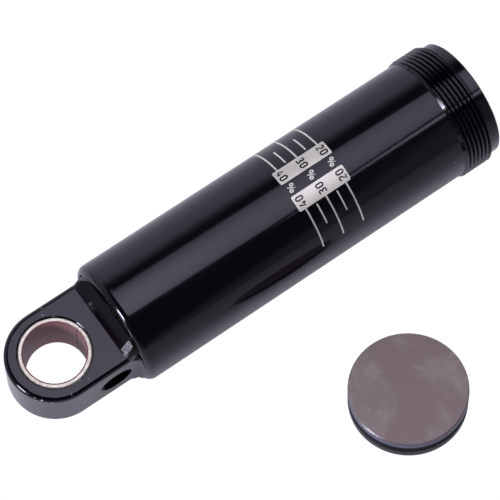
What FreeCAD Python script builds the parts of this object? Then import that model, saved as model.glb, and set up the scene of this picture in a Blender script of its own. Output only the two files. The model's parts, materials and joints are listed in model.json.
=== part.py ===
import FreeCAD, Part
import math
import os

# Rear shock damper body with its loose internal floating piston.
# Frame: origin at the centre of the eyelet bush, +X along the tube to its
# open end, +Z along the eyelet bore. All lengths are in millimetres.

os.makedirs("parts", exist_ok=True)

# Eyelet bush, the common half inch size
BUSH_ID_R = 6.35
BUSH_OD_R = 7.54
BUSH_LEN = 12.7
LINER_T = 0.30
SEAM_DEG = 14.0
SEAM_W = 0.14

# Eyelet lug
LUG_R = 9.95
LUG_END_X = -0.30
LUG_HALF_T = 6.45
LUG_EDGE = 1.10
RAMP_X = 10.76
RAMP_TOP_Z = 9.80
FLARE_R = 2.0

# Tube
END_X = 13.36
TUBE_R = 13.50
SHOULDER_R = 1.95
BORE_R = 12.35
BORE_X = 18.50
OPEN_X = 102.30
PILOT_R = 13.15
PILOT_X = 100.05

# Thread M28 x 1
THREAD_R = 14.0
THREAD_X0 = 93.35
THREAD_X1 = 99.45
PITCH = 1.0
ROOT_X = 93.80
THREAD_DEPTH = 0.58

# Fill port, drilled from the side of the lug toward the tube's inside
PORT_X = 7.85
PORT_R = 3.05
PORT_TILT = 33.6
PORT_DEPTH = 5.2
CORE_R = 2.60

# Internal floating piston, flat face up on the bench beside the tube
IFP_R = 12.30
IFP_T = 6.0
IFP_X = 55.59
IFP_Y = -44.98
GROUND = 14.0
LEAN = 6.82


def revolved(points):
    # A solid turned about the local Z axis from (radius, height) points
    pts = [FreeCAD.Vector(r, 0, h) for r, h in points]
    pts.append(pts[0])
    face = Part.Face(Part.makePolygon(pts))
    return face.revolve(FreeCAD.Vector(0, 0, 0), FreeCAD.Vector(0, 0, 1), 360)


def turned_x(points):
    # A solid turned about the X axis from (x, radius) points
    solid = revolved([(r, x) for x, r in points])
    solid.rotate(FreeCAD.Vector(0, 0, 0), FreeCAD.Vector(0, 1, 0), 90)
    return solid


def edges_at(solid, test):
    return [e for e in solid.Edges if test(e)]


def save(shape, name):
    shape.exportStep("parts/" + name + ".step")
    print(name, round(shape.Volume, 2), shape.isValid(), len(shape.Solids))


# ---------------------------------------------------------------- tube
tube = turned_x([
    (END_X, 0.0),
    (END_X, TUBE_R),
    (THREAD_X0 - 0.55, TUBE_R),
    (THREAD_X0, THREAD_R),
    (THREAD_X1, THREAD_R),
    (PILOT_X, THREAD_R - 0.62),
    (PILOT_X, PILOT_R),
    (OPEN_X - 0.25, PILOT_R),
    (OPEN_X, PILOT_R - 0.25),
    (OPEN_X, 0.0),
])
rim = edges_at(tube, lambda e: len(e.Vertexes) == 1
               and abs(e.CenterOfMass.x - END_X) < 0.01
               and e.Length > 80)
tube = tube.makeFillet(SHOULDER_R, rim)

# ---------------------------------------------------------------- lug
c = FreeCAD.Vector(LUG_END_X, 0, -LUG_HALF_T)
top = FreeCAD.Vector(LUG_END_X, LUG_R, -LUG_HALF_T)
bottom = FreeCAD.Vector(LUG_END_X, -LUG_R, -LUG_HALF_T)
tip = FreeCAD.Vector(LUG_END_X - LUG_R, 0, -LUG_HALF_T)
inner_x = END_X + 3.0
far_top = FreeCAD.Vector(inner_x, LUG_R, -LUG_HALF_T)
far_bottom = FreeCAD.Vector(inner_x, -LUG_R, -LUG_HALF_T)
outline = Part.Wire([
    Part.Arc(top, tip, bottom).toShape(),
    Part.LineSegment(bottom, far_bottom).toShape(),
    Part.LineSegment(far_bottom, far_top).toShape(),
    Part.LineSegment(far_top, top).toShape(),
])
lug = Part.Face(outline).extrude(FreeCAD.Vector(0, 0, 2 * LUG_HALF_T))


def on_outline(e):
    box = e.BoundBox
    flat = box.ZLength < 0.01 and abs(abs(box.ZMax) - LUG_HALF_T) < 0.01
    return flat and box.XLength > 1.0


lug = lug.makeFillet(LUG_EDGE, edges_at(lug, on_outline))

# Concave flares where the lug's side walls run into the tube's end
flares = []
for side in (1, -1):
    x0 = END_X - FLARE_R
    y0 = side * LUG_R
    y1 = side * (LUG_R + FLARE_R)
    mid_x = x0 + FLARE_R * math.sin(math.radians(45))
    mid_y = y1 - side * FLARE_R * math.cos(math.radians(45))
    z = -(LUG_HALF_T - LUG_EDGE)
    a = FreeCAD.Vector(x0, y0, z)
    m = FreeCAD.Vector(mid_x, mid_y, z)
    b = FreeCAD.Vector(END_X, y1, z)
    p = FreeCAD.Vector(inner_x, y1, z)
    q = FreeCAD.Vector(inner_x, side * 4.0, z)
    r = FreeCAD.Vector(x0, side * 4.0, z)
    wire = Part.Wire([
        Part.Arc(a, m, b).toShape(),
        Part.LineSegment(b, p).toShape(),
        Part.LineSegment(p, q).toShape(),
        Part.LineSegment(q, r).toShape(),
        Part.LineSegment(r, a).toShape(),
    ])
    flares.append(Part.Face(wire).extrude(FreeCAD.Vector(0, 0, -2 * z)))

# Sloping faces that rise from both lug faces to the tube's end. A narrow
# facet runs down one side of each, and the lug's round edge carries on up.
def on_slope(e):
    box = e.BoundBox
    slanted = box.YLength < 0.01 and box.XLength > 1.0 and box.ZLength > 1.0
    return slanted and abs(box.YMax) > LUG_R - 0.01


FACET_Y = -8.0
FACET_TURN = 10.0
ramps = []
for side in (1, -1):
    foot = FreeCAD.Vector(RAMP_X, -LUG_R, side * LUG_HALF_T)
    head = FreeCAD.Vector(END_X, -LUG_R, side * RAMP_TOP_Z)
    run = (head - foot)
    run.normalize()
    pts = [
        foot,
        foot + run * 5.0,
        FreeCAD.Vector(inner_x + 1.0, -LUG_R, side * 2.0),
        FreeCAD.Vector(RAMP_X, -LUG_R, side * 2.0),
    ]
    pts.append(pts[0])
    face = Part.Face(Part.makePolygon(pts))
    ramp = face.extrude(FreeCAD.Vector(0, 2 * LUG_R, 0))
    square = FreeCAD.Vector(-run.z, 0, run.x) * side
    turn = math.radians(FACET_TURN)
    tilt = square * math.cos(turn) + FreeCAD.Vector(0, -math.sin(turn), 0)
    shave = Part.makeBox(40, 40, 10, FreeCAD.Vector(-20, -20, 0))
    shave.Placement = FreeCAD.Placement(
        FreeCAD.Vector(foot.x, FACET_Y, foot.z),
        FreeCAD.Rotation(FreeCAD.Vector(0, 0, 1), tilt))
    ramp = ramp.cut(shave)
    ramps.append(ramp.makeFillet(LUG_EDGE, edges_at(ramp, on_slope)))

envelope = Part.makeCylinder(
    TUBE_R - 1.2, 30, FreeCAD.Vector(-12, 0, 0), FreeCAD.Vector(1, 0, 0))
neck = flares[0].multiFuse([flares[1], ramps[0], ramps[1]])
neck = neck.common(envelope)
body = tube.multiFuse([lug, neck])

# ---------------------------------------------------------------- bores
bore = turned_x([
    (BORE_X, 0.0),
    (BORE_X, BORE_R - 0.8),
    (BORE_X + 0.8, BORE_R),
    (OPEN_X - 0.45, BORE_R),
    (OPEN_X + 0.05, BORE_R + 0.5),
    (OPEN_X + 1.0, BORE_R + 0.5),
    (OPEN_X + 1.0, 0.0),
])
body = body.cut(bore)
half = LUG_HALF_T
edge = 0.16
eye = revolved([
    (0.0, -half - 1),
    (BUSH_OD_R + edge + 1, -half - 1),
    (BUSH_OD_R, -half + edge),
    (BUSH_OD_R, half - edge),
    (BUSH_OD_R + edge + 1, half + 1),
    (0.0, half + 1),
])
body = body.cut(eye)

# Fill port: a counterbore, the core's threaded seat, a cone and a passage.
# Local height runs inward from the middle of the mouth.
port_dir = FreeCAD.Vector(
    math.sin(math.radians(PORT_TILT)), math.cos(math.radians(PORT_TILT)), 0)
port_mouth = FreeCAD.Vector(PORT_X, -LUG_R, 0)
port_turn = FreeCAD.Rotation(FreeCAD.Vector(0, 0, 1), port_dir)
port_place = FreeCAD.Placement(port_mouth, port_turn)


def in_port(shape):
    out = shape.copy()
    out.Placement = port_place.multiply(shape.Placement)
    return out


passage = revolved([
    (0.0, -6.0),
    (PORT_R, -6.0),
    (PORT_R, PORT_DEPTH),
    (CORE_R + 0.02, PORT_DEPTH + 0.35),
    (CORE_R + 0.02, 9.9),
    (2.15, 10.9),
    (2.15, 24.0),
    (0.0, 24.0),
])
body = body.cut(in_port(passage))

# Thread: one V groove swept along a helix
start = ROOT_X - 0.55
helix = Part.makeHelix(PITCH, THREAD_X1 + 0.9 - start, THREAD_R)
hw = 0.50
profile = Part.makePolygon([
    FreeCAD.Vector(THREAD_R - THREAD_DEPTH, 0, -0.06),
    FreeCAD.Vector(THREAD_R + 0.12, 0, -hw),
    FreeCAD.Vector(THREAD_R + 0.12, 0, hw),
    FreeCAD.Vector(THREAD_R - THREAD_DEPTH, 0, 0.06),
    FreeCAD.Vector(THREAD_R - THREAD_DEPTH, 0, -0.06),
])
groove = Part.Wire(helix).makePipeShell([profile], True, True)
groove.rotate(FreeCAD.Vector(0, 0, 0), FreeCAD.Vector(0, 1, 0), 90)
groove.translate(FreeCAD.Vector(start, 0, 0))
body = body.cut(groove)
body = body.removeSplitter()
save(body, "damper_body")

# ---------------------------------------------------------------- bush
h = BUSH_LEN / 2
shell_in = BUSH_ID_R + LINER_T
shell = revolved([
    (shell_in, -h),
    (BUSH_OD_R - 0.35, -h),
    (BUSH_OD_R, -h + 0.6),
    (BUSH_OD_R, h - 0.6),
    (BUSH_OD_R - 0.35, h),
    (shell_in, h),
])
liner = revolved([
    (BUSH_ID_R, -h + 0.15),
    (BUSH_ID_R + 0.15, -h),
    (shell_in, -h),
    (shell_in, h),
    (BUSH_ID_R + 0.15, h),
    (BUSH_ID_R, h - 0.15),
])
seam = Part.makeBox(
    4.0, SEAM_W, BUSH_LEN + 2,
    FreeCAD.Vector(5.0, -SEAM_W / 2, -h - 1))
seam.rotate(FreeCAD.Vector(0, 0, 0), FreeCAD.Vector(0, 0, 1), SEAM_DEG)
save(shell.cut(seam), "bushing_shell")
save(liner.cut(seam), "bushing_liner")

# ---------------------------------------------------------------- piston
lean_axis = FreeCAD.Vector(
    0, math.sin(math.radians(LEAN)), math.cos(math.radians(LEAN)))
slope = math.tan(math.radians(LEAN))
foot_z = -GROUND / math.cos(math.radians(LEAN)) - IFP_Y * slope
ifp_place = FreeCAD.Placement(
    FreeCAD.Vector(IFP_X, IFP_Y, foot_z),
    FreeCAD.Rotation(FreeCAD.Vector(0, 0, 1), lean_axis))
GROOVE_LO = 2.0
GROOVE_HI = 4.2
GROOVE_R = 10.4
piston = revolved([
    (0.0, 2.4),
    (8.2, 2.4),
    (8.6, 2.0),
    (8.6, 0.0),
    (IFP_R - 0.3, 0.0),
    (IFP_R, 0.3),
    (IFP_R, GROOVE_LO),
    (GROOVE_R, GROOVE_LO),
    (GROOVE_R, GROOVE_HI),
    (IFP_R, GROOVE_HI),
    (IFP_R, IFP_T - 0.3),
    (IFP_R - 0.3, IFP_T),
    (0.0, IFP_T),
])
piston.Placement = ifp_place
save(piston, "floating_piston")

# Quad ring: four round lobes with a shallow valley between each pair
ring_mid_r = (GROOVE_R + IFP_R - 0.02) / 2
ring_mid_h = (GROOVE_LO + GROOVE_HI) / 2
half_r = (IFP_R - 0.02 - GROOVE_R) / 2
half_h = (GROOVE_HI - GROOVE_LO) / 2 - 0.04
lobe = 0.42
ring_edges = []
corner = [(1, 1), (-1, 1), (-1, -1), (1, -1)]


def ring_point(r, v):
    return FreeCAD.Vector(ring_mid_r + r, 0, ring_mid_h + v)


ends = []
for sx, sy in corner:
    cx = sx * (half_r - lobe)
    cy = sy * (half_h - lobe)
    out = ring_point(cx + sx * lobe * 0.7071, cy + sy * lobe * 0.7071)
    on_r = ring_point(sx * half_r, cy)
    on_h = ring_point(cx, sy * half_h)
    first, last = (on_r, on_h) if sx * sy > 0 else (on_h, on_r)
    ends.append((first, last))
    ring_edges.append(Part.Arc(first, out, last).toShape())
for i in range(4):
    a = ends[i][1]
    b = ends[(i + 1) % 4][0]
    m = (a + b) * 0.5
    centre = ring_point(0, 0)
    pull = (centre - m)
    pull.normalize()
    m = m + pull * 0.22
    ring_edges.append(Part.Arc(a, m, b).toShape())
ordered = []
for i in range(4):
    ordered.append(ring_edges[i])
    ordered.append(ring_edges[4 + i])
ring_face = Part.Face(Part.Wire(ordered))
ring = ring_face.revolve(
    FreeCAD.Vector(0, 0, 0), FreeCAD.Vector(0, 0, 1), 360)
ring.Placement = ifp_place
save(ring, "piston_quad_ring")

# ---------------------------------------------------------------- valve core
# Threaded head with a wrench bridge across its top
head = revolved([
    (0.95, 5.9),
    (2.25, 5.9),
    (2.25, 7.0),
    (CORE_R - 0.25, 7.0),
    (CORE_R, 7.25),
    (CORE_R, 9.2),
    (CORE_R - 0.25, 9.45),
    (1.64, 9.45),
    (1.64, 7.2),
    (0.95, 7.2),
])
for side in (1, -1):
    flat = Part.makeBox(
        6.0, 2.0, 1.1,
        FreeCAD.Vector(-3.0, side * 2.5 - 1.0, 5.9))
    head = head.cut(flat)
for k in range(3):
    cut = revolved([
        (CORE_R - 0.28, 7.55 + 0.6 * k),
        (CORE_R + 0.2, 7.35 + 0.6 * k),
        (CORE_R + 0.2, 7.75 + 0.6 * k),
    ])
    head = head.cut(cut)
save(in_port(head), "valve_head")

# Barrel: neck in the head, gasket land, spring chamber, seat rim below
barrel = revolved([
    (0.56, 8.5),
    (1.60, 8.5),
    (1.60, 9.6),
    (1.95, 9.6),
    (1.95, 9.9),
    (1.72, 9.9),
    (1.72, 11.5),
    (1.95, 11.5),
    (1.95, 15.2),
    (1.55, 15.6),
    (1.25, 15.6),
    (0.85, 15.2),
    (0.85, 14.6),
    (1.45, 14.6),
    (1.45, 9.9),
    (0.56, 9.9),
])
save(in_port(barrel), "valve_barrel")

gasket = revolved([
    (1.72, 9.92),
    (2.50, 9.92),
    (2.50, 10.02),
    (2.06, 11.0),
    (2.06, 11.48),
    (1.72, 11.48),
])
save(in_port(gasket), "valve_gasket")

# Moving stem: pin with a spring collar, cup and rubber seat washer
PIN_R = 0.50
pin = revolved([
    (0.0, 5.3),
    (0.45, 5.3),
    (0.65, 5.45),
    (0.65, 5.75),
    (PIN_R, 5.95),
    (PIN_R, 10.15),
    (1.12, 10.15),
    (1.12, 10.45),
    (PIN_R, 10.45),
    (PIN_R, 16.75),
    (0.85, 16.75),
    (0.85, 16.95),
    (0.55, 17.10),
    (0.0, 17.10),
])
save(in_port(pin), "valve_pin")
cup = revolved([
    (PIN_R, 16.40),
    (1.62, 16.40),
    (1.62, 15.95),
    (1.82, 15.95),
    (1.82, 16.60),
    (1.67, 16.75),
    (PIN_R, 16.75),
])
save(in_port(cup), "valve_cup")
washer = revolved([
    (PIN_R, 15.72),
    (1.12, 15.72),
    (1.20, 15.62),
    (1.55, 15.62),
    (1.62, 15.70),
    (1.62, 16.40),
    (PIN_R, 16.40),
])
save(in_port(washer), "valve_seat_washer")

# Spring between the collar and the chamber's floor
WIRE_R = 0.13
COIL_R = 0.95
spring_lo = 10.45 + WIRE_R
spring_hi = 14.60 - WIRE_R
coils = 5.5
spring_path = Part.makeHelix(
    (spring_hi - spring_lo) / coils, spring_hi - spring_lo, COIL_R)
wire_circle = Part.Wire(Part.makeCircle(
    WIRE_R, FreeCAD.Vector(COIL_R, 0, 0), FreeCAD.Vector(0, 1, 0)))
spring = Part.Wire(spring_path).makePipeShell([wire_circle], True, True)
spring.translate(FreeCAD.Vector(0, 0, spring_lo))
save(in_port(spring), "valve_spring")
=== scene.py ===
# %% [markdown]
# # The damper body of a rear shock, with its loose floating piston
#
# On the real bicycle shock this is the inner half: a turned aluminium tube with
# an eyelet at one end and a thread at the other. The air can slides on the
# tube, and a sag scale etched on the tube shows how far it has moved. A small
# disc, the internal floating piston, lies on the bench beside it.
#
# The metal shapes come ready made from the CAD model, so this script gives
# them their finishes, adds the etched scale, and sets up the bench, the light
# and the camera.

# %% Load the frame
import bpy
import bmesh
import json
import math
from mathutils import Matrix, Vector


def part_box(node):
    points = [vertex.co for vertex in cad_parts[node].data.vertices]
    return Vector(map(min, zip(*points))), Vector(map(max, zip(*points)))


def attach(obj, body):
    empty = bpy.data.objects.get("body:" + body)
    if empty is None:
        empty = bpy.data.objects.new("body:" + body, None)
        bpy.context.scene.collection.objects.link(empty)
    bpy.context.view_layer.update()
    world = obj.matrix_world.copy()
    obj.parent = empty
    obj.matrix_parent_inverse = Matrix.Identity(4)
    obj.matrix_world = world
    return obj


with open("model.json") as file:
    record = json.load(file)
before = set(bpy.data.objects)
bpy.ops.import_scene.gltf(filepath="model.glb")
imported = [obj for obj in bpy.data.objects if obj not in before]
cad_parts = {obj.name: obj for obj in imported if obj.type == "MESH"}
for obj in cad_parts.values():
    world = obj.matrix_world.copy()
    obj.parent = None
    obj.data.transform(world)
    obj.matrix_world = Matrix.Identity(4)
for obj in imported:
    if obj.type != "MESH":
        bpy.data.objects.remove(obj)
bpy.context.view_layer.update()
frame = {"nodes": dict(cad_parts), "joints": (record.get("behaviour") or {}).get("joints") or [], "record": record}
nodes = frame["nodes"]
MM = 0.001
print("CAD nodes:", sorted(nodes))

# %% [markdown]
# ## The sizes that the finishes need
#
# A finish that changes from place to place, such as painted highlights along an edge, has to
# know where the edge is. The main sizes are read from the CAD nodes' boxes and
# the record, so they follow the model if it changes a little. A few places,
# such as the painted highlight on the slope's corner and the scale, are given where they are used.

# %% Read the sizes
BODY_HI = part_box("damper_body")[1]
BUSH_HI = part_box("bushing_shell")[1]
mounts = {m["name"]: m for m in frame["record"]["mounts"]}
TUBE_R = mounts["tube_od"]["dims"]["r_mm"] * MM
LEAN = math.asin(frame["joints"][0]["axis"][1])
BENCH_UP = Vector((0.0, math.sin(LEAN), math.cos(LEAN)))
# The body's widest radius touches the bench
BENCH_DROP = BODY_HI.z
print("tube radius", round(TUBE_R, 5),
      "lean in degrees", round(math.degrees(LEAN), 2))


# %% [markdown]
# ## Shared effects as node groups
#
# Dust, smudges and turning marks show on more than one metal here. Each one
# is built once as a shader node group with its own inputs, and every material
# then sets its own values. A group gives out a mask, never a shader.

# %% A helper that makes a group
def new_group(name, inputs, outputs):
    group = bpy.data.node_groups.new(name, "ShaderNodeTree")
    for label, value in inputs:
        socket = group.interface.new_socket(
            label, in_out="INPUT", socket_type="NodeSocketFloat")
        socket.default_value = value
    for label in outputs:
        group.interface.new_socket(
            label, in_out="OUTPUT", socket_type="NodeSocketFloat")
    start = group.nodes.new("NodeGroupInput")
    end = group.nodes.new("NodeGroupOutput")
    return group, start, end


def math_node(tree, operation, a, b=None):
    node = tree.nodes.new("ShaderNodeMath")
    node.operation = operation
    for i, value in enumerate((a, b)):
        if value is None:
            continue
        if isinstance(value, (int, float)):
            node.inputs[i].default_value = value
        else:
            tree.links.new(value, node.inputs[i])
    return node.outputs[0]


def map_range(tree, value, from_min, from_max, to_min, to_max, smooth=False):
    node = tree.nodes.new("ShaderNodeMapRange")
    node.interpolation_type = "SMOOTHSTEP" if smooth else "LINEAR"
    for label, number in (("From Min", from_min), ("From Max", from_max),
                          ("To Min", to_min), ("To Max", to_max)):
        if isinstance(number, (int, float)):
            node.inputs[label].default_value = number
        else:
            tree.links.new(number, node.inputs[label])
    tree.links.new(value, node.inputs["Value"])
    return node.outputs["Result"]


def object_xyz(tree):
    """The X, Y and Z of the point being shaded, in the object's own frame."""
    coords = tree.nodes.new("ShaderNodeTexCoord")
    split = tree.nodes.new("ShaderNodeSeparateXYZ")
    tree.links.new(coords.outputs["Object"], split.inputs[0])
    return split.outputs


# %% [markdown]
# Dust is a scatter of tiny round specks. A Voronoi texture cuts space into
# cells, and a speck is the part of a cell close to its middle. Each cell also
# has a random colour, so comparing one channel with the amount leaves most
# cells empty.

# %% Dust specks
def build_dust():
    group, start, end = new_group(
        "dust_specks",
        [("Scale", 900.0), ("Size", 0.12), ("Amount", 0.05)], ["Mask"])
    coords = group.nodes.new("ShaderNodeTexCoord")
    cells = group.nodes.new("ShaderNodeTexVoronoi")
    group.links.new(coords.outputs["Object"], cells.inputs["Vector"])
    group.links.new(start.outputs["Scale"], cells.inputs["Scale"])
    chance = group.nodes.new("ShaderNodeSeparateColor")
    group.links.new(cells.outputs["Color"], chance.inputs["Color"])
    near = math_node(
        group, "LESS_THAN", cells.outputs["Distance"], start.outputs["Size"])
    kept = math_node(
        group, "LESS_THAN", chance.outputs[0], start.outputs["Amount"])
    group.links.new(math_node(group, "MULTIPLY", near, kept), end.inputs["Mask"])
    return group


dust = build_dust()
print("group:", dust.name)

# %% [markdown]
# Handling leaves faint cloudy smudges on polished metal. Two layers of noise,
# a broad one and a finer one, are added and then stretched in contrast.

# %% Smudges
def build_smudge():
    group, start, end = new_group(
        "smudges", [("Scale", 60.0), ("Contrast", 2.0)], ["Mask"])
    coords = group.nodes.new("ShaderNodeTexCoord")
    noise = group.nodes.new("ShaderNodeTexNoise")
    noise.inputs["Detail"].default_value = 5.0
    noise.inputs["Roughness"].default_value = 0.55
    noise.inputs["Distortion"].default_value = 0.6
    group.links.new(coords.outputs["Object"], noise.inputs["Vector"])
    group.links.new(start.outputs["Scale"], noise.inputs["Scale"])
    centred = math_node(group, "SUBTRACT", noise.outputs["Fac"], 0.5)
    spread = math_node(group, "MULTIPLY", centred, start.outputs["Contrast"])
    lifted = math_node(group, "ADD", spread, 0.5)
    clamp = group.nodes.new("ShaderNodeClamp")
    group.links.new(lifted, clamp.inputs["Value"])
    group.links.new(clamp.outputs[0], end.inputs["Mask"])
    return group


smudges = build_smudge()
print("group:", smudges.name)

# %% [markdown]
# The tube is ground and polished along its length, which leaves very fine
# streaks. Noise that is squeezed across the tube and stretched along it looks
# the same. The stretch comes from multiplying each coordinate by its own
# scale before the noise reads it.

# %% Fine streaks
def build_streaks():
    group, start, end = new_group(
        "fine_streaks", [("Along X", 8.0), ("Across", 900.0)], ["Mask"])
    coords = group.nodes.new("ShaderNodeTexCoord")
    scales = group.nodes.new("ShaderNodeCombineXYZ")
    group.links.new(start.outputs["Along X"], scales.inputs["X"])
    group.links.new(start.outputs["Across"], scales.inputs["Y"])
    group.links.new(start.outputs["Across"], scales.inputs["Z"])
    stretch = group.nodes.new("ShaderNodeVectorMath")
    stretch.operation = "MULTIPLY"
    group.links.new(coords.outputs["Object"], stretch.inputs[0])
    group.links.new(scales.outputs[0], stretch.inputs[1])
    noise = group.nodes.new("ShaderNodeTexNoise")
    noise.inputs["Scale"].default_value = 1.0
    noise.inputs["Detail"].default_value = 3.0
    group.links.new(stretch.outputs[0], noise.inputs["Vector"])
    group.links.new(noise.outputs["Fac"], end.inputs["Mask"])
    return group


streaks = build_streaks()
print("group:", streaks.name)


# %% [markdown]
# ## Materials
#
# A helper starts each material with a Principled shader. Values that are the
# same all over the metal are set straight on its sockets.

# %% Material helpers
def new_material(name, colour, rough, metal=0.0):
    material = bpy.data.materials.new(name)
    material.use_nodes = True
    tree = material.node_tree
    shader = tree.nodes["Principled BSDF"]
    shader.inputs["Base Color"].default_value = (*colour, 1.0)
    shader.inputs["Roughness"].default_value = rough
    shader.inputs["Metallic"].default_value = metal
    material.diffuse_color = (*colour, 1.0)
    return material, tree, shader


def use_group(tree, group, **values):
    node = tree.nodes.new("ShaderNodeGroup")
    node.node_tree = group
    for label, value in values.items():
        node.inputs[label.replace("_", " ")].default_value = value
    return node.outputs[0]


def mix_colour(tree, mask, low, high):
    node = tree.nodes.new("ShaderNodeMix")
    node.data_type = "RGBA"
    tree.links.new(mask, node.inputs["Factor"])
    for i, colour in ((6, low), (7, high)):
        if isinstance(colour, tuple):
            node.inputs[i].default_value = (*colour, 1.0)
        else:
            tree.links.new(colour, node.inputs[i])
    return node.outputs[2]


def add_bump(tree, shader, height, distance, strength=1.0):
    node = tree.nodes.new("ShaderNodeBump")
    node.inputs["Strength"].default_value = strength
    node.inputs["Distance"].default_value = distance
    tree.links.new(height, node.inputs["Height"])
    tree.links.new(node.outputs[0], shader.inputs["Normal"])


# %% [markdown]
# ### Black anodised aluminium
#
# The tube and lug are polished, anodised and dyed black. The dye swallows
# nearly all light, so what shows is the mirror of the room in a clear, hard
# skin: low roughness over an almost black base. Streaks and smudges move the
# roughness a little, and dust adds pale specks. Along the lug's rounded edges
# small pale specks are painted highlights, where the edges catch the lamps. One
# corner of the slope beside the tube is painted pale grey as a highlight.

# %% Where the black skin gets its painted highlights
LUG_FACE_Z = BUSH_HI.z
LUG_EDGE_BELOW = 0.95 * MM
LUG_EDGE_ABOVE = 0.08 * MM
LUG_END_X = 9.0 * MM
# The patch painted as a highlight on the slope's corner
SLOPE_GLINT_X = (10.9 * MM, 13.0 * MM)
SLOPE_GLINT_Y = (-8.7 * MM, -6.9 * MM)
SLOPE_GLINT_FROM_Z = 6.4 * MM
SLOPE_GLINT_FULL_Z = 6.5 * MM
SLOPE_GLINT_SOFT = 0.25 * MM


def lug_edge_mask(tree):
    """1 in a thin band along the lug's rounded edges."""
    place = object_xyz(tree)
    height = math_node(tree, "ABSOLUTE", place["Z"])
    above = math_node(tree, "GREATER_THAN", height, LUG_FACE_Z - LUG_EDGE_BELOW)
    below = math_node(tree, "LESS_THAN", height, LUG_FACE_Z + LUG_EDGE_ABOVE)
    on_lug = math_node(tree, "LESS_THAN", place["X"], LUG_END_X)
    band = math_node(tree, "MULTIPLY", above, below)
    return math_node(tree, "MULTIPLY", band, on_lug)


def slope_corner_mask(tree):
    """1 in the small patch of painted highlight where the slope meets the lug's side."""
    place = object_xyz(tree)
    mask = map_range(tree, place["Z"], SLOPE_GLINT_FROM_Z, SLOPE_GLINT_FULL_Z, 0.0, 1.0)
    for axis, (low, high) in (("X", SLOPE_GLINT_X), ("Y", SLOPE_GLINT_Y)):
        for edge, inner in ((low, low + SLOPE_GLINT_SOFT), (high, high - SLOPE_GLINT_SOFT)):
            ramp = map_range(tree, place[axis], edge, inner, 0.0, 1.0)
            mask = math_node(tree, "MULTIPLY", mask, ramp)
    glint_breakup = use_group(tree, streaks, Along_X=1400.0, Across=5200.0)
    return math_node(tree, "MULTIPLY", mask, map_range(
        tree, glint_breakup, 0.40, 0.58, 0.15, 1.0))


print("lug edge band", round(LUG_EDGE_BELOW, 5), "slope_highlight from X", SLOPE_GLINT_X[0])

# %% [markdown]
# The masks then choose the colour, layer on layer: first the clouded black,
# then dust, then the painted highlight on the slope's corner, and last the
# painted highlights along the edges. The roughness is a sum, so that streaks,
# smudges and dust can each roughen the skin.

# %% Black anodise
def black_anodise():
    material, tree, shader = new_material(
        "black_anodise", (0.0012, 0.0013, 0.002), 0.09)
    shader.inputs["Specular Tint"].default_value = (0.92, 0.90, 1.0, 1.0)
    grain = use_group(tree, streaks, Along_X=25.0, Across=1500.0)
    cloud = use_group(tree, smudges, Scale=45.0, Contrast=1.8)
    specks = use_group(tree, dust, Scale=420.0, Size=0.09, Amount=0.035)
    # Pale specks along the lug's edges are painted highlights
    glint_dots = use_group(tree, dust, Scale=1300.0, Size=0.42, Amount=0.12)
    glint_cloud = use_group(tree, smudges, Scale=220.0, Contrast=3.0)
    glint_patch = map_range(tree, glint_cloud, 0.62, 0.8, 0.0, 1.0)
    edge_glints = math_node(tree, "MULTIPLY", glint_dots, glint_patch)
    edge_glints = math_node(tree, "MULTIPLY", edge_glints, lug_edge_mask(tree))
    tint = mix_colour(
        tree, cloud, (0.0007, 0.0008, 0.0014), (0.0017, 0.0018, 0.003))
    dusty = mix_colour(tree, specks, tint, (0.20, 0.20, 0.22))
    # The slope's corner is painted pale grey as a highlight
    corner_glinted = mix_colour(
        tree, slope_corner_mask(tree), dusty, (0.36, 0.37, 0.38))
    tree.links.new(
        mix_colour(tree, edge_glints, corner_glinted, (0.55, 0.54, 0.52)),
        shader.inputs["Base Color"])
    rough = map_range(tree, grain, 0.3, 0.7, 0.06, 0.105)
    rough = math_node(
        tree, "ADD", rough, map_range(tree, cloud, 0.0, 1.0, 0.0, 0.03))
    rough = math_node(tree, "ADD", rough, math_node(tree, "MULTIPLY", specks, 0.4))
    tree.links.new(rough, shader.inputs["Roughness"])
    add_bump(tree, shader, grain, 0.0004 * MM)
    return material


black = black_anodise()
print("material:", black.name)

# %% [markdown]
# ### The eyelet bush
#
# The bush is a rolled strip: a steel back, sintered bronze, and a thin low
# friction lining inside. The cut end shows as a pale ring, a little rough from
# the saw and rubbed bright. The lining is a brown-mauve plastic mix, dull,
# with fine marks along the bore from the pin sliding in.

# %% Bush back
def bush_back():
    material, tree, shader = new_material(
        "bush_strip", (0.90, 0.84, 0.70), 0.42, metal=0.5)
    cloud = use_group(tree, smudges, Scale=420.0, Contrast=3.2)
    fine = use_group(tree, smudges, Scale=2600.0, Contrast=2.5)
    shade = mix_colour(tree, cloud, (0.80, 0.72, 0.60), (0.98, 0.95, 0.80))
    pits = map_range(tree, fine, 0.66, 0.85, 0.0, 0.25)
    tree.links.new(
        mix_colour(tree, pits, shade, (0.42, 0.32, 0.26)),
        shader.inputs["Base Color"])
    tree.links.new(
        map_range(tree, fine, 0.0, 1.0, 0.36, 0.55), shader.inputs["Roughness"])
    add_bump(tree, shader, fine, 0.01 * MM, 0.5)
    return material


def bush_lining():
    material, tree, shader = new_material(
        "bush_lining", (0.27, 0.085, 0.09), 0.45)
    shader.inputs["Specular IOR Level"].default_value = 0.3
    cloud = use_group(tree, smudges, Scale=160.0, Contrast=2.4)
    fine = use_group(tree, smudges, Scale=1800.0, Contrast=2.0)
    shade = mix_colour(
        tree, cloud, (0.190, 0.066, 0.070), (0.310, 0.125, 0.128))
    worn = map_range(tree, fine, 0.6, 0.85, 0.0, 0.5)
    tree.links.new(
        mix_colour(tree, worn, shade, (0.42, 0.23, 0.20)),
        shader.inputs["Base Color"])
    tree.links.new(
        map_range(tree, cloud, 0.0, 1.0, 0.36, 0.52), shader.inputs["Roughness"])
    add_bump(tree, shader, fine, 0.006 * MM, 0.4)
    return material


strip = bush_back()
lining = bush_lining()
print("materials:", strip.name, lining.name)

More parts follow.
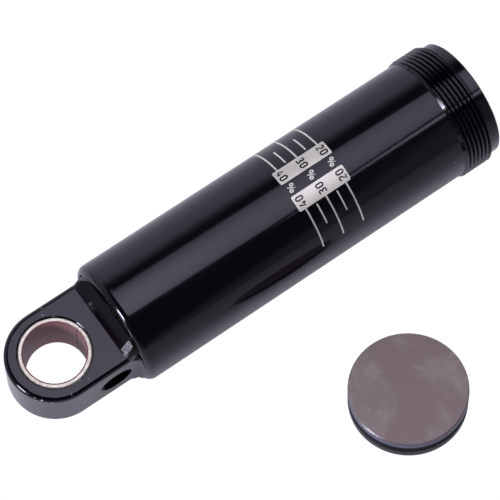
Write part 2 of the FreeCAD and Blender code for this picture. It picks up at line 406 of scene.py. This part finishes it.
# %% [markdown]
# ### Hard anodised piston
#
# The floating piston has a thick, undyed hard anodise, a brown-grey with a
# soft sheen. Oil and handling have left lighter cloudy patches on its face.
# Its rim was turned. Above the seal's groove it has a painted bluish sheen, and
# below it is darker, a painted shade.

# %% Where the piston's rim is
RIM_FROM = 0.14 * MM
RIM_FULL = 0.04 * MM


def piston_rim_and_sheen_masks(tree):
    """Two masks: 1 on the turned rim, and 1 above the seal's groove, where the rim takes a painted sheen."""
    piston_lo, piston_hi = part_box("floating_piston")
    middle = (piston_lo + piston_hi) / 2
    coords = tree.nodes.new("ShaderNodeTexCoord")
    from_middle = tree.nodes.new("ShaderNodeVectorMath")
    from_middle.operation = "SUBTRACT"
    from_middle.inputs[1].default_value = middle
    tree.links.new(coords.outputs["Object"], from_middle.inputs[0])
    across = tree.nodes.new("ShaderNodeVectorMath")
    across.operation = "CROSS_PRODUCT"
    across.inputs[1].default_value = BENCH_UP
    tree.links.new(from_middle.outputs[0], across.inputs[0])
    radius = tree.nodes.new("ShaderNodeVectorMath")
    radius.operation = "LENGTH"
    tree.links.new(across.outputs[0], radius.inputs[0])
    rim_r = mounts["piston_rim"]["dims"]["r_mm"] * MM
    on_rim = map_range(
        tree, radius.outputs["Value"], rim_r - RIM_FROM, rim_r - RIM_FULL, 0.0, 1.0)
    height = tree.nodes.new("ShaderNodeVectorMath")
    height.operation = "DOT_PRODUCT"
    height.inputs[1].default_value = BENCH_UP
    tree.links.new(from_middle.outputs[0], height.inputs[0])
    upper = math_node(tree, "GREATER_THAN", height.outputs["Value"], 0.0)
    return on_rim, upper


print("rim band", round(RIM_FROM - RIM_FULL, 6))

# %% [markdown]
# The face is one brown-grey with lighter clouds mixed in, and the masks put
# the two rim colours on last: a painted bluish sheen above, painted shade below.

# %% Hard anodise
def hard_anodise():
    material, tree, shader = new_material(
        "hard_anodise", (0.24, 0.178, 0.165), 0.2)
    broad = use_group(tree, smudges, Scale=85.0, Contrast=3.4)
    fine = use_group(tree, smudges, Scale=420.0, Contrast=2.2)
    specks = use_group(tree, dust, Scale=700.0, Size=0.12, Amount=0.02)
    patches = map_range(tree, broad, 0.50, 0.95, 0.0, 1.0)
    patches = math_node(tree, "MULTIPLY", patches, map_range(
        tree, fine, 0.2, 0.8, 0.35, 1.0))
    shade = mix_colour(
        tree, patches, (0.222, 0.160, 0.147), (0.300, 0.255, 0.230))
    dusty = mix_colour(tree, specks, shade, (0.38, 0.35, 0.33))
    on_rim, upper = piston_rim_and_sheen_masks(tree)
    # Painted light on the rim: bluish sheen above the groove, shade below
    rim = mix_colour(tree, upper, (0.030, 0.030, 0.032), (0.105, 0.110, 0.165))
    tree.links.new(
        mix_colour(tree, on_rim, dusty, rim), shader.inputs["Base Color"])
    tree.links.new(
        map_range(tree, broad, 0.0, 1.0, 0.16, 0.30), shader.inputs["Roughness"])
    add_bump(tree, shader, fine, 0.002 * MM, 0.4)
    return material


hard = hard_anodise()
print("material:", hard.name)

# %% [markdown]
# ### Rubber
#
# The quad ring and the valve's seat are black nitrile rubber, matt with a
# trace of oil. A low specular level keeps the sheen soft.

# %% Rubber
def rubber():
    material, tree, shader = new_material(
        "nitrile_rubber", (0.004, 0.004, 0.007), 0.45)
    shader.inputs["Specular IOR Level"].default_value = 0.25
    cloud = use_group(tree, smudges, Scale=300.0, Contrast=2.0)
    fine = use_group(tree, smudges, Scale=2400.0, Contrast=2.0)
    tree.links.new(
        mix_colour(tree, cloud, (0.003, 0.003, 0.006), (0.007, 0.007, 0.012)),
        shader.inputs["Base Color"])
    tree.links.new(
        map_range(tree, cloud, 0.0, 1.0, 0.38, 0.55), shader.inputs["Roughness"])
    add_bump(tree, shader, fine, 0.004 * MM, 0.5)
    return material


seal = rubber()
print("material:", seal.name)

# %% [markdown]
# ### The valve core
#
# The core is nickel-plated brass with a steel pin. Its head takes a darker
# nickel, a painted shade for the deep port it sits in. Its tapered gasket is a
# red-brown plastic, and the spring is steel wire. They differ only in colour,
# sheen and whether they are metal, so one function makes them all.

# %% The valve's metals and plastic
def small_part(name, dark, light, rough_low, rough_high, metal):
    material, tree, shader = new_material(name, light, rough_low, metal=metal)
    cloud = use_group(tree, smudges, Scale=600.0, Contrast=2.4)
    tree.links.new(mix_colour(tree, cloud, dark, light), shader.inputs["Base Color"])
    tree.links.new(
        map_range(tree, cloud, 0.0, 1.0, rough_low, rough_high),
        shader.inputs["Roughness"])
    return material


nickel = small_part(
    "nickel_plate", (0.42, 0.41, 0.38), (0.62, 0.61, 0.58), 0.18, 0.34, 1.0)
# Darker nickel for the valve head: painted shade of the deep port
shaded_nickel = small_part(
    "nickel_in_painted_shade", (0.10, 0.098, 0.095), (0.20, 0.195, 0.185), 0.36, 0.52, 1.0)
pin_steel = small_part(
    "pin_steel", (0.30, 0.30, 0.30), (0.48, 0.48, 0.47), 0.28, 0.44, 1.0)
gasket = small_part(
    "gasket_plastic", (0.22, 0.035, 0.025), (0.34, 0.06, 0.04), 0.38, 0.55, 0.0)
wire = small_part(
    "spring_wire", (0.34, 0.34, 0.35), (0.58, 0.58, 0.58), 0.20, 0.32, 1.0)
valve_finishes = (nickel, shaded_nickel, pin_steel, gasket, wire)
print("materials:", [material.name for material in valve_finishes])

# %% [markdown]
# Each CAD node keeps its mesh and takes its finish in its first material slot.

# %% Put the finishes on the CAD nodes
finish_of = {
    "damper_body": black,
    "bushing_shell": strip,
    "bushing_liner": lining,
    "floating_piston": hard,
    "piston_quad_ring": seal,
    "valve_head": shaded_nickel,
    "valve_barrel": nickel,
    "valve_cup": nickel,
    "valve_pin": pin_steel,
    "valve_gasket": gasket,
    "valve_seat_washer": seal,
    "valve_spring": wire,
}
for name, material in finish_of.items():
    slots = nodes[name].data.materials
    slots.clear()
    slots.append(material)
print("finished nodes:", len(finish_of))

# %% [markdown]
# ## The sag scale
#
# The scale is etched through the black skin with a laser, so it is thin, pale
# and quite matt. It has two silver bands with dark figures left in them, a
# percent sign between each pair of figures, and tick lines round the tube.
#
# Its finish is half metal and fairly rough, with tiny pits from the laser.

# %% Etch materials
def etched_silver():
    material, tree, shader = new_material(
        "etched_silver", (0.78, 0.76, 0.66), 0.4, metal=0.55)
    cloud = use_group(tree, smudges, Scale=260.0, Contrast=2.0)
    fine = use_group(tree, smudges, Scale=3500.0, Contrast=2.2)
    shade = mix_colour(tree, cloud, (0.72, 0.705, 0.61), (0.90, 0.885, 0.77))
    pits = map_range(tree, fine, 0.65, 0.9, 0.0, 0.3)
    tree.links.new(
        mix_colour(tree, pits, shade, (0.45, 0.43, 0.38)),
        shader.inputs["Base Color"])
    tree.links.new(
        map_range(tree, fine, 0.0, 1.0, 0.34, 0.50), shader.inputs["Roughness"])
    return material


silver = etched_silver()
print("material:", silver.name)

# %% [markdown]
# Every mark is drawn flat first, with X along the tube and Y round it, and is
# then rolled round the tube. A flat shape bends cleanly only if it has enough
# cuts, so each one is sliced across before it is rolled.

# %% Rolling a flat shape round the tube
MARK_T = 0.012 * MM
MARK_LIFT = 0.010 * MM
SLICE_W = 0.35 * MM


def roll_round_tube(bm, middle_deg, lift):
    for v in bm.verts:
        angle = math.radians(middle_deg) + v.co.y / TUBE_R
        r = TUBE_R + lift + v.co.z
        v.co = Vector((v.co.x, r * math.cos(angle), r * math.sin(angle)))
    bmesh.ops.recalc_face_normals(bm, faces=bm.faces)


def slice_across(bm, step):
    low = min(v.co.y for v in bm.verts)
    high = max(v.co.y for v in bm.verts)
    y = low + step
    while y < high - 0.2 * step:
        everything = bm.verts[:] + bm.edges[:] + bm.faces[:]
        bmesh.ops.bisect_plane(
            bm, geom=everything, plane_co=(0, y, 0), plane_no=(0, 1, 0))
        y += step


def flat_plate(width_x, width_y, corner):
    bm = bmesh.new()
    bmesh.ops.create_grid(bm, x_segments=1, y_segments=1, size=0.5)
    bmesh.ops.scale(bm, vec=(width_x, width_y, 1.0), verts=bm.verts)
    bmesh.ops.bevel(
        bm, geom=bm.verts[:], affect="VERTICES", offset=corner, segments=4,
        profile=0.5, material=-1, clamp_overlap=True)
    return bm


def plate_on_tube(width_x, from_deg, to_deg, corner, x, lift):
    middle = (from_deg + to_deg) / 2
    width_y = math.radians(abs(to_deg - from_deg)) * TUBE_R
    bm = flat_plate(width_x, width_y, corner)
    slice_across(bm, SLICE_W)
    thick = bmesh.ops.extrude_face_region(bm, geom=bm.faces[:])
    top = [v for v in thick["geom"] if isinstance(v, bmesh.types.BMVert)]
    bmesh.ops.translate(bm, vec=(0, 0, MARK_T), verts=top)
    bmesh.ops.translate(bm, vec=(x, 0, 0), verts=bm.verts)
    roll_round_tube(bm, middle, lift)
    return bm


def join_into(target, source):
    part = bpy.data.meshes.new("part")
    source.to_mesh(part)
    target.from_mesh(part)
    source.free()
    bpy.data.meshes.remove(part)


def finish_piece(name, bm, material, body):
    mesh = bpy.data.meshes.new(name)
    bm.to_mesh(mesh)
    bm.free()
    piece = bpy.data.objects.new(name, mesh)
    bpy.context.scene.collection.objects.link(piece)
    mesh.materials.append(material)
    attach(piece, body)
    print("piece:", name, len(mesh.polygons), "faces")


# %% [markdown]
# The bands sit on the side of the tube that faces up on the bench. Angles
# round the tube are counted from +Y through +Z, so 90 degrees is the top.

# %% Bands
SCALE_LOW_X = 55.8 * MM
SCALE_HIGH_X = 68.55 * MM
UPPER_BAND_DEG = (70.0, 84.7)
LOWER_BAND_DEG = (98.0, 113.0)
BAND_CORNER = 0.35 * MM
band_mid = (SCALE_LOW_X + SCALE_HIGH_X) / 2
band_len = SCALE_HIGH_X - SCALE_LOW_X
bands = bmesh.new()
for from_deg, to_deg in (UPPER_BAND_DEG, LOWER_BAND_DEG):
    join_into(bands, plate_on_tube(
        band_len, from_deg, to_deg, BAND_CORNER, band_mid, MARK_LIFT))
finish_piece("sag_scale_bands", bands, silver, "housing")

# %% [markdown]
# Long ticks stand at 20, 30 and 40 per cent, and short ones half way between.
# All of them have nearly round ends, which a corner bevel a little narrower
# than half the line gives.

# %% Ticks
PER_CENT_20_X = 67.2 * MM
PER_CENT_40_X = 57.2 * MM
LONG_TICK_W = 0.36 * MM
SHORT_TICK_W = 0.34 * MM
LONG_TICK_DEG = ((113.0, 154.0), (24.0, 70.0))
SHORT_TICK_DEG = ((114.5, 134.5), (47.5, 68.0))
ROUND_END = 0.45
half_step = (PER_CENT_20_X - PER_CENT_40_X) / 4
ticks = bmesh.new()
for i in range(5):
    x = PER_CENT_40_X + i * half_step
    if i % 2 == 0:
        spans, width = LONG_TICK_DEG, LONG_TICK_W
    else:
        spans, width = SHORT_TICK_DEG, SHORT_TICK_W
    for from_deg, to_deg in spans:
        join_into(ticks, plate_on_tube(
            width, from_deg, to_deg, width * ROUND_END, x, MARK_LIFT))
finish_piece("sag_scale_ticks", ticks, silver, "housing")

# %% [markdown]
# ### The figures
#
# The figures are narrow strokes of one width. Each one is first a few lines of
# points round its middle, with arcs where it is round.

# %% Strokes of each figure, in a cell one unit wide and 1.68 high
def arc(cx, cy, rx, ry, start, stop, count=9):
    points = []
    for i in range(count):
        a = math.radians(start + (stop - start) * i / (count - 1))
        points.append((cx + rx * math.cos(a), cy + ry * math.sin(a)))
    return points


def figure_strokes(sign):
    w = 0.37
    h = 0.78
    if sign == "0":
        ring = arc(0, h - w, w, w, 0, 180) + arc(0, w - h, w, w, 180, 360)
        return [(ring, True)]
    if sign == "2":
        top = arc(0, h - w, w, w, 165, -35)
        return [(top + [(-w, -h), (w, -h)], False)]
    if sign == "3":
        upper = arc(-0.02, h - 0.33, 0.34, 0.33, 150, -90)
        lower = arc(-0.02, -h + 0.36, 0.37, 0.36, 90, -150)
        return [(upper + lower[1:], False)]
    if sign == "4":
        slope = [(0.02, h), (-0.40, -0.36), (0.42, -0.36)]
        return [(slope, False), ([(0.20, 0.02), (0.20, -h)], False)]
    left = arc(-0.56, 0.36, 0.27, 0.36, 0, 360, 13)[:-1]
    right = arc(0.56, -0.36, 0.27, 0.36, 0, 360, 13)[:-1]
    return [(left, True), (right, True), ([(0.40, 0.74), (-0.40, -0.74)], False)]


# %% [markdown]
# Each stroke becomes a curve with a round bevel, so its width is a single
# number. The curve is made a mesh, pressed almost flat, and rolled round the
# tube like the bands.

# %% Drawing a figure
def stroke_mesh(sign, stroke_w):
    curve = bpy.data.curves.new("stroke", "CURVE")
    curve.dimensions = "3D"
    curve.bevel_depth = stroke_w / 2
    curve.bevel_resolution = 2
    curve.use_fill_caps = True
    for points, closed in figure_strokes(sign):
        line = curve.splines.new("POLY")
        line.points.add(len(points) - 1)
        for point, (px, py) in zip(line.points, points):
            point.co = (px * MM, py * MM, 0, 1)
        line.use_cyclic_u = closed
    holder = bpy.data.objects.new("stroke", curve)
    bpy.context.scene.collection.objects.link(holder)
    graph = bpy.context.evaluated_depsgraph_get()
    mesh = bpy.data.meshes.new_from_object(holder.evaluated_get(graph))
    bm = bmesh.new()
    bm.from_mesh(mesh)
    bpy.data.objects.remove(holder)
    bpy.data.meshes.remove(mesh)
    bpy.data.curves.remove(curve)
    return bm


def figure_on_tube(sign, x, middle_deg, tops_to_open_end, stroke_w, lift):
    bm = stroke_mesh(sign, stroke_w)
    bmesh.ops.remove_doubles(bm, verts=bm.verts, dist=0.001 * MM)
    bmesh.ops.scale(bm, vec=(1, 1, MARK_T / stroke_w), verts=bm.verts)
    # The glyph's up goes to X, and its right goes round the tube
    turn = 1.0 if tops_to_open_end else -1.0
    for v in bm.verts:
        v.co = Vector((x + turn * v.co.y, turn * v.co.x, v.co.z))
    roll_round_tube(bm, middle_deg, lift)
    return bm


# %% [markdown]
# The dark figures are left-over black skin, so they take the black finish and
# sit a hair above the bands. The two rows face opposite ways, to be read from
# either side. The percent signs stand between the bands, in silver.

# %% Figures and percent signs
FIGURE_LIFT = MARK_LIFT + MARK_T + 0.006 * MM
STROKE = 0.34 * MM
PERCENT_STROKE = 0.30 * MM
PERCENT_DEG = 91.3
FIRST_FIGURE_DEG = (74.3, 108.2)
SECOND_FIGURE_DEG = (80.0, 102.65)
PER_CENT_30_X = (PER_CENT_20_X + PER_CENT_40_X) / 2
figures = bmesh.new()
percents = bmesh.new()
for number, x in (
        ("20", PER_CENT_20_X), ("30", PER_CENT_30_X), ("40", PER_CENT_40_X)):
    for sign, (upper_deg, lower_deg) in (
            (number[0], FIRST_FIGURE_DEG), ("0", SECOND_FIGURE_DEG)):
        join_into(figures, figure_on_tube(
            sign, x, upper_deg, True, STROKE, FIGURE_LIFT))
        join_into(figures, figure_on_tube(
            sign, x, lower_deg, False, STROKE, FIGURE_LIFT))
    join_into(percents, figure_on_tube(
        "%", x, PERCENT_DEG, True, PERCENT_STROKE, MARK_LIFT))
finish_piece("sag_scale_figures", figures, black, "housing")
finish_piece("sag_scale_percents", percents, silver, "housing")

# %% [markdown]
# ## The bench
#
# The body rests on its side on a plain white bench. It is rolled a little
# about its own axis, so in this frame it is the bench that leans. The piston
# lies flat on the same bench.
#
# The bench glows instead of being lit. The camera sees it as even white. What
# the black gloss mirrors is set apart, with painted shade: a ramp across the
# tube, darker beyond the eyelet, and a painted contact shadow where the body
# nearly touches the bench.

# %% Floor material
COOL = (0.985, 0.955, 1.14)
WHITE = (1.0, 1.0, 1.0)
SEEN_LEVEL = 1.02
RAMP_HALF_MM = 250
# How bright the bench is in reflections, by millimetres across the tube
RAMP_STOPS = (
    (-240, 0.42), (-100, 0.48), (-55, 0.54), (-35, 0.68),
    (-20, 0.82), (15, 0.70), (30, 0.72), (50, 0.76), (80, 0.78),
)
RAMP_END_LEVEL = 0.76
CONTACT_REACH = 0.012
BEYOND_DARK_X = -0.20
BEYOND_CLEAR_X = -0.045
BEYOND_LEVEL = 0.32


def leaning(bm, up, drop):
    turn = Vector((0, 0, 1)).rotation_difference(up).to_matrix().to_4x4()
    bmesh.ops.transform(bm, matrix=turn, verts=bm.verts)
    bmesh.ops.translate(bm, vec=-up * drop, verts=bm.verts)


def glow_material(name):
    """A material that only glows, in the cool white of the lamps."""
    material = bpy.data.materials.new(name)
    material.use_nodes = True
    tree = material.node_tree
    tree.nodes.clear()
    glow = tree.nodes.new("ShaderNodeEmission")
    glow.inputs["Color"].default_value = (*COOL, 1.0)
    out = tree.nodes.new("ShaderNodeOutputMaterial")
    tree.links.new(glow.outputs[0], out.inputs["Surface"])
    return material, tree, glow


def floor_material():
    material, tree, glow = glow_material("white_bench")
    place = object_xyz(tree)
    half = RAMP_HALF_MM * MM
    across = map_range(tree, place["Y"], -half, half, 0.0, 1.0)
    ramp = tree.nodes.new("ShaderNodeValToRGB")
    tree.links.new(across, ramp.inputs["Fac"])
    stops = ramp.color_ramp.elements
    for at_mm, level in RAMP_STOPS:
        stop = stops.new((at_mm + RAMP_HALF_MM) / (2 * RAMP_HALF_MM))
        stop.color = (level, level, level, 1.0)
    stops.remove(stops[0])
    stops[-1].color = (RAMP_END_LEVEL, RAMP_END_LEVEL, RAMP_END_LEVEL, 1.0)
    # Painted contact shadow in what the gloss mirrors
    shade = tree.nodes.new("ShaderNodeAmbientOcclusion")
    shade.inputs["Distance"].default_value = CONTACT_REACH
    shade.samples = 8
    beyond = map_range(
        tree, place["X"], BEYOND_DARK_X, BEYOND_CLEAR_X, BEYOND_LEVEL, 1.0, True)
    level = math_node(
        tree, "MULTIPLY", ramp.outputs["Color"], shade.outputs["AO"])
    level = math_node(tree, "MULTIPLY", level, beyond)
    path = tree.nodes.new("ShaderNodeLightPath")
    seen = path.outputs["Is Camera Ray"]
    tree.links.new(
        map_range(tree, seen, 0.0, 1.0, level, SEEN_LEVEL),
        glow.inputs["Strength"])
    tree.links.new(
        mix_colour(tree, seen, COOL, WHITE), glow.inputs["Color"])
    return material


bench_glow = floor_material()
print("material:", bench_glow.name)

# %% [markdown]
# The bench itself is one big square, turned to lean and dropped until it
# touches the body.

# %% Floor
bm = bmesh.new()
bmesh.ops.create_grid(bm, x_segments=1, y_segments=1, size=4.0)
leaning(bm, BENCH_UP, BENCH_DROP)
floor_mesh = bpy.data.meshes.new("bench")
bm.to_mesh(floor_mesh)
bm.free()
floor = bpy.data.objects.new("bench", floor_mesh)
bpy.context.scene.collection.objects.link(floor)
floor_mesh.materials.append(bench_glow)
print("bench drop", round(BENCH_DROP, 4))

# %% [markdown]
# ## Light
#
# Black gloss has no colour of its own, so the picture is made by what it
# mirrors. A soft box hangs over the bench and makes the long grey stripe down
# the tube. Its far edge runs at a slant, so the stripe narrows toward the
# open end. It is a plain glowing plate that the camera itself does not see.

# %% Soft box
BOX_HEIGHT = 0.6
BOX_STRONG = 2.15
BOX_WEAK = 1.72
BOX_HALF_W = 0.27
BOX_EDGE_LOSS = 0.36
BOX_CORNERS = (
    (-0.10, 0.42), (0.136, 0.312), (0.296, 0.193), (0.42, 0.13),
    (0.42, -0.28), (0.30, -0.295), (0.22, -0.33), (0.136, -0.27),
    (-0.10, -0.25),
)


def soft_box_material():
    material, tree, glow = glow_material("soft_box")
    place = object_xyz(tree)
    strong_end = map_range(
        tree, place["X"], 0.13, 0.19, BOX_STRONG, BOX_WEAK, True)
    far_end = map_range(tree, place["X"], 0.20, 0.30, 1.0, 0.92)
    from_lamp = math_node(tree, "DIVIDE", place["Y"], BOX_HALF_W)
    squared = math_node(
        tree, "POWER", math_node(tree, "ABSOLUTE", from_lamp), 2.0)
    loss = math_node(tree, "MULTIPLY", squared, BOX_EDGE_LOSS)
    fall = math_node(tree, "SUBTRACT", 1.0, loss)
    strength = math_node(
        tree, "MULTIPLY", math_node(tree, "MULTIPLY", strong_end, far_end), fall)
    tree.links.new(strength, glow.inputs["Strength"])
    return material


def light_plate(name, corners, material):
    plate = bmesh.new()
    ring = [plate.verts.new((x, y, 0.0)) for x, y in corners]
    bmesh.ops.contextual_create(plate, geom=ring)
    leaning(plate, BENCH_UP, -BOX_HEIGHT)
    mesh = bpy.data.meshes.new(name)
    plate.to_mesh(mesh)
    plate.free()
    obj = bpy.data.objects.new(name, mesh)
    bpy.context.scene.collection.objects.link(obj)
    mesh.materials.append(material)
    obj.visible_camera = False


light_plate("soft_box", BOX_CORNERS, soft_box_material())
print("soft box height", BOX_HEIGHT)

# %% [markdown]
# A narrow strip lies beside the soft box, past a dark gap. It draws the thin
# bright line next to the stripe towards the open end.

# %% Edge strip
STRIP_STRENGTH = 2.1
STRIP_CORNERS = (
    (0.235, -0.375), (0.34, -0.335), (0.42, -0.315), (0.42, -0.43),
    (0.345, -0.42), (0.235, -0.390),
)
strip_glow, _, strip_lamp = glow_material("edge_strip")
strip_lamp.inputs["Strength"].default_value = STRIP_STRENGTH
light_plate("edge_strip", STRIP_CORNERS, strip_glow)
print("edge strip strength", STRIP_STRENGTH)

# %% [markdown]
# A tall window far off beyond the eyelet is bright in its upper half and dim
# below. The bright half puts a spark on the tube's round shoulder and on the
# cone before the thread, and the dim half shows in the small facet at the
# corner of the lug's slope.

# %% Window
WINDOW_AWAY = 1.2
WINDOW_W = 0.32
WINDOW_LOW = -0.02
WINDOW_HIGH = 0.60
WINDOW_DIM_TOP = 0.24
WINDOW_BRIGHT_FROM = 0.34
WINDOW_DIM = 3.6
WINDOW_BRIGHT = 34.0


def window_material():
    material, tree, glow = glow_material("window")
    strength = map_range(
        tree, object_xyz(tree)["Z"], WINDOW_DIM_TOP, WINDOW_BRIGHT_FROM,
        WINDOW_DIM, WINDOW_BRIGHT, True)
    tree.links.new(strength, glow.inputs["Strength"])
    return material


bm = bmesh.new()
bmesh.ops.create_grid(bm, x_segments=1, y_segments=1, size=0.5)
bmesh.ops.scale(
    bm, vec=(WINDOW_HIGH - WINDOW_LOW, WINDOW_W, 1.0), verts=bm.verts)
bmesh.ops.rotate(
    bm, verts=bm.verts, matrix=Matrix.Rotation(math.radians(90.0), 3, "Y"))
bmesh.ops.translate(bm, verts=bm.verts, vec=(
    -WINDOW_AWAY, 0.0, (WINDOW_HIGH + WINDOW_LOW) / 2))
window_mesh = bpy.data.meshes.new("window")
bm.to_mesh(window_mesh)
bm.free()
window = bpy.data.objects.new("window", window_mesh)
bpy.context.scene.collection.objects.link(window)
window_mesh.materials.append(window_material())
window.visible_camera = False
print("window at", [round(c, 3) for c in window_mesh.vertices[0].co])

# %% [markdown]
# The room round the bench is the world shader. Its walls are pale on the far
# side and dimmer towards the near side, and its ceiling is dark. On the near
# side the dark starts lower down. The shader reads only the direction of each
# ray, turned to match the bench.

# %% Room
NEAR_SIDE = math.radians(-120.0)
WALL_FAR = 0.78
WALL_NEAR = 0.22
CEILING = 0.05


def build_room():
    world = bpy.data.worlds.new("room")
    bpy.context.scene.world = world
    world.use_nodes = True
    tree = world.node_tree
    background = tree.nodes["Background"]
    coords = tree.nodes.new("ShaderNodeTexCoord")
    level = tree.nodes.new("ShaderNodeMapping")
    level.inputs["Rotation"].default_value = (LEAN, 0.0, 0.0)
    tree.links.new(coords.outputs["Generated"], level.inputs["Vector"])
    split = tree.nodes.new("ShaderNodeSeparateXYZ")
    tree.links.new(level.outputs[0], split.inputs[0])
    height = math_node(tree, "ARCSINE", split.outputs["Z"])
    along_x = math_node(
        tree, "MULTIPLY", split.outputs["X"], math.cos(NEAR_SIDE))
    along_y = math_node(
        tree, "MULTIPLY", split.outputs["Y"], math.sin(NEAR_SIDE))
    along = math_node(tree, "ADD", along_x, along_y)
    xx = math_node(tree, "POWER", split.outputs["X"], 2.0)
    yy = math_node(tree, "POWER", split.outputs["Y"], 2.0)
    flat = math_node(tree, "SQRT", math_node(tree, "ADD", xx, yy))
    side = math_node(
        tree, "DIVIDE", along, math_node(tree, "MAXIMUM", flat, 0.001))
    middle = map_range(
        tree, side, 0.58, 0.78, math.radians(41.0), math.radians(3.0))
    half = map_range(
        tree, side, 0.0, 0.6, math.radians(12.0), math.radians(4.5))
    low = math_node(tree, "SUBTRACT", middle, half)
    high = math_node(tree, "ADD", middle, half)
    wall = map_range(tree, side, -0.9, 0.3, WALL_FAR, WALL_NEAR)
    strength = map_range(tree, height, low, high, wall, CEILING, True)
    tree.links.new(strength, background.inputs["Strength"])
    background.inputs["Color"].default_value = (*COOL, 1.0)
    return world


room = build_room()
print("world:", room.name)

# %% [markdown]
# ## Camera
#
# A long lens looks down at the bench from above the eyelet, turned a little
# about its own axis so that the tube runs up to the right.

# %% Camera
RIGHT = Vector((0.81341, -0.58068, 0.03425))
UP = Vector((0.53389, 0.76866, 0.35231))
AIM = Vector((0.23091, 0.26829, -0.93526))
SPOT = Vector((-69.75, -136.97, 468.61)) * MM
SENSOR_W = 36.0
LENS_LENGTH = 176.5
lens = bpy.data.cameras.new("camera")
lens.sensor_width = SENSOR_W
lens.lens = LENS_LENGTH
lens.clip_start = 0.01
lens.clip_end = 50.0
camera = bpy.data.objects.new("camera", lens)
bpy.context.scene.collection.objects.link(camera)
basis = Matrix((RIGHT, UP, -AIM)).transposed().to_4x4()
camera.matrix_world = Matrix.Translation(SPOT) @ basis
bpy.context.scene.camera = camera
bpy.context.scene.view_settings.view_transform = "Standard"
print("camera", [round(c, 4) for c in camera.location])
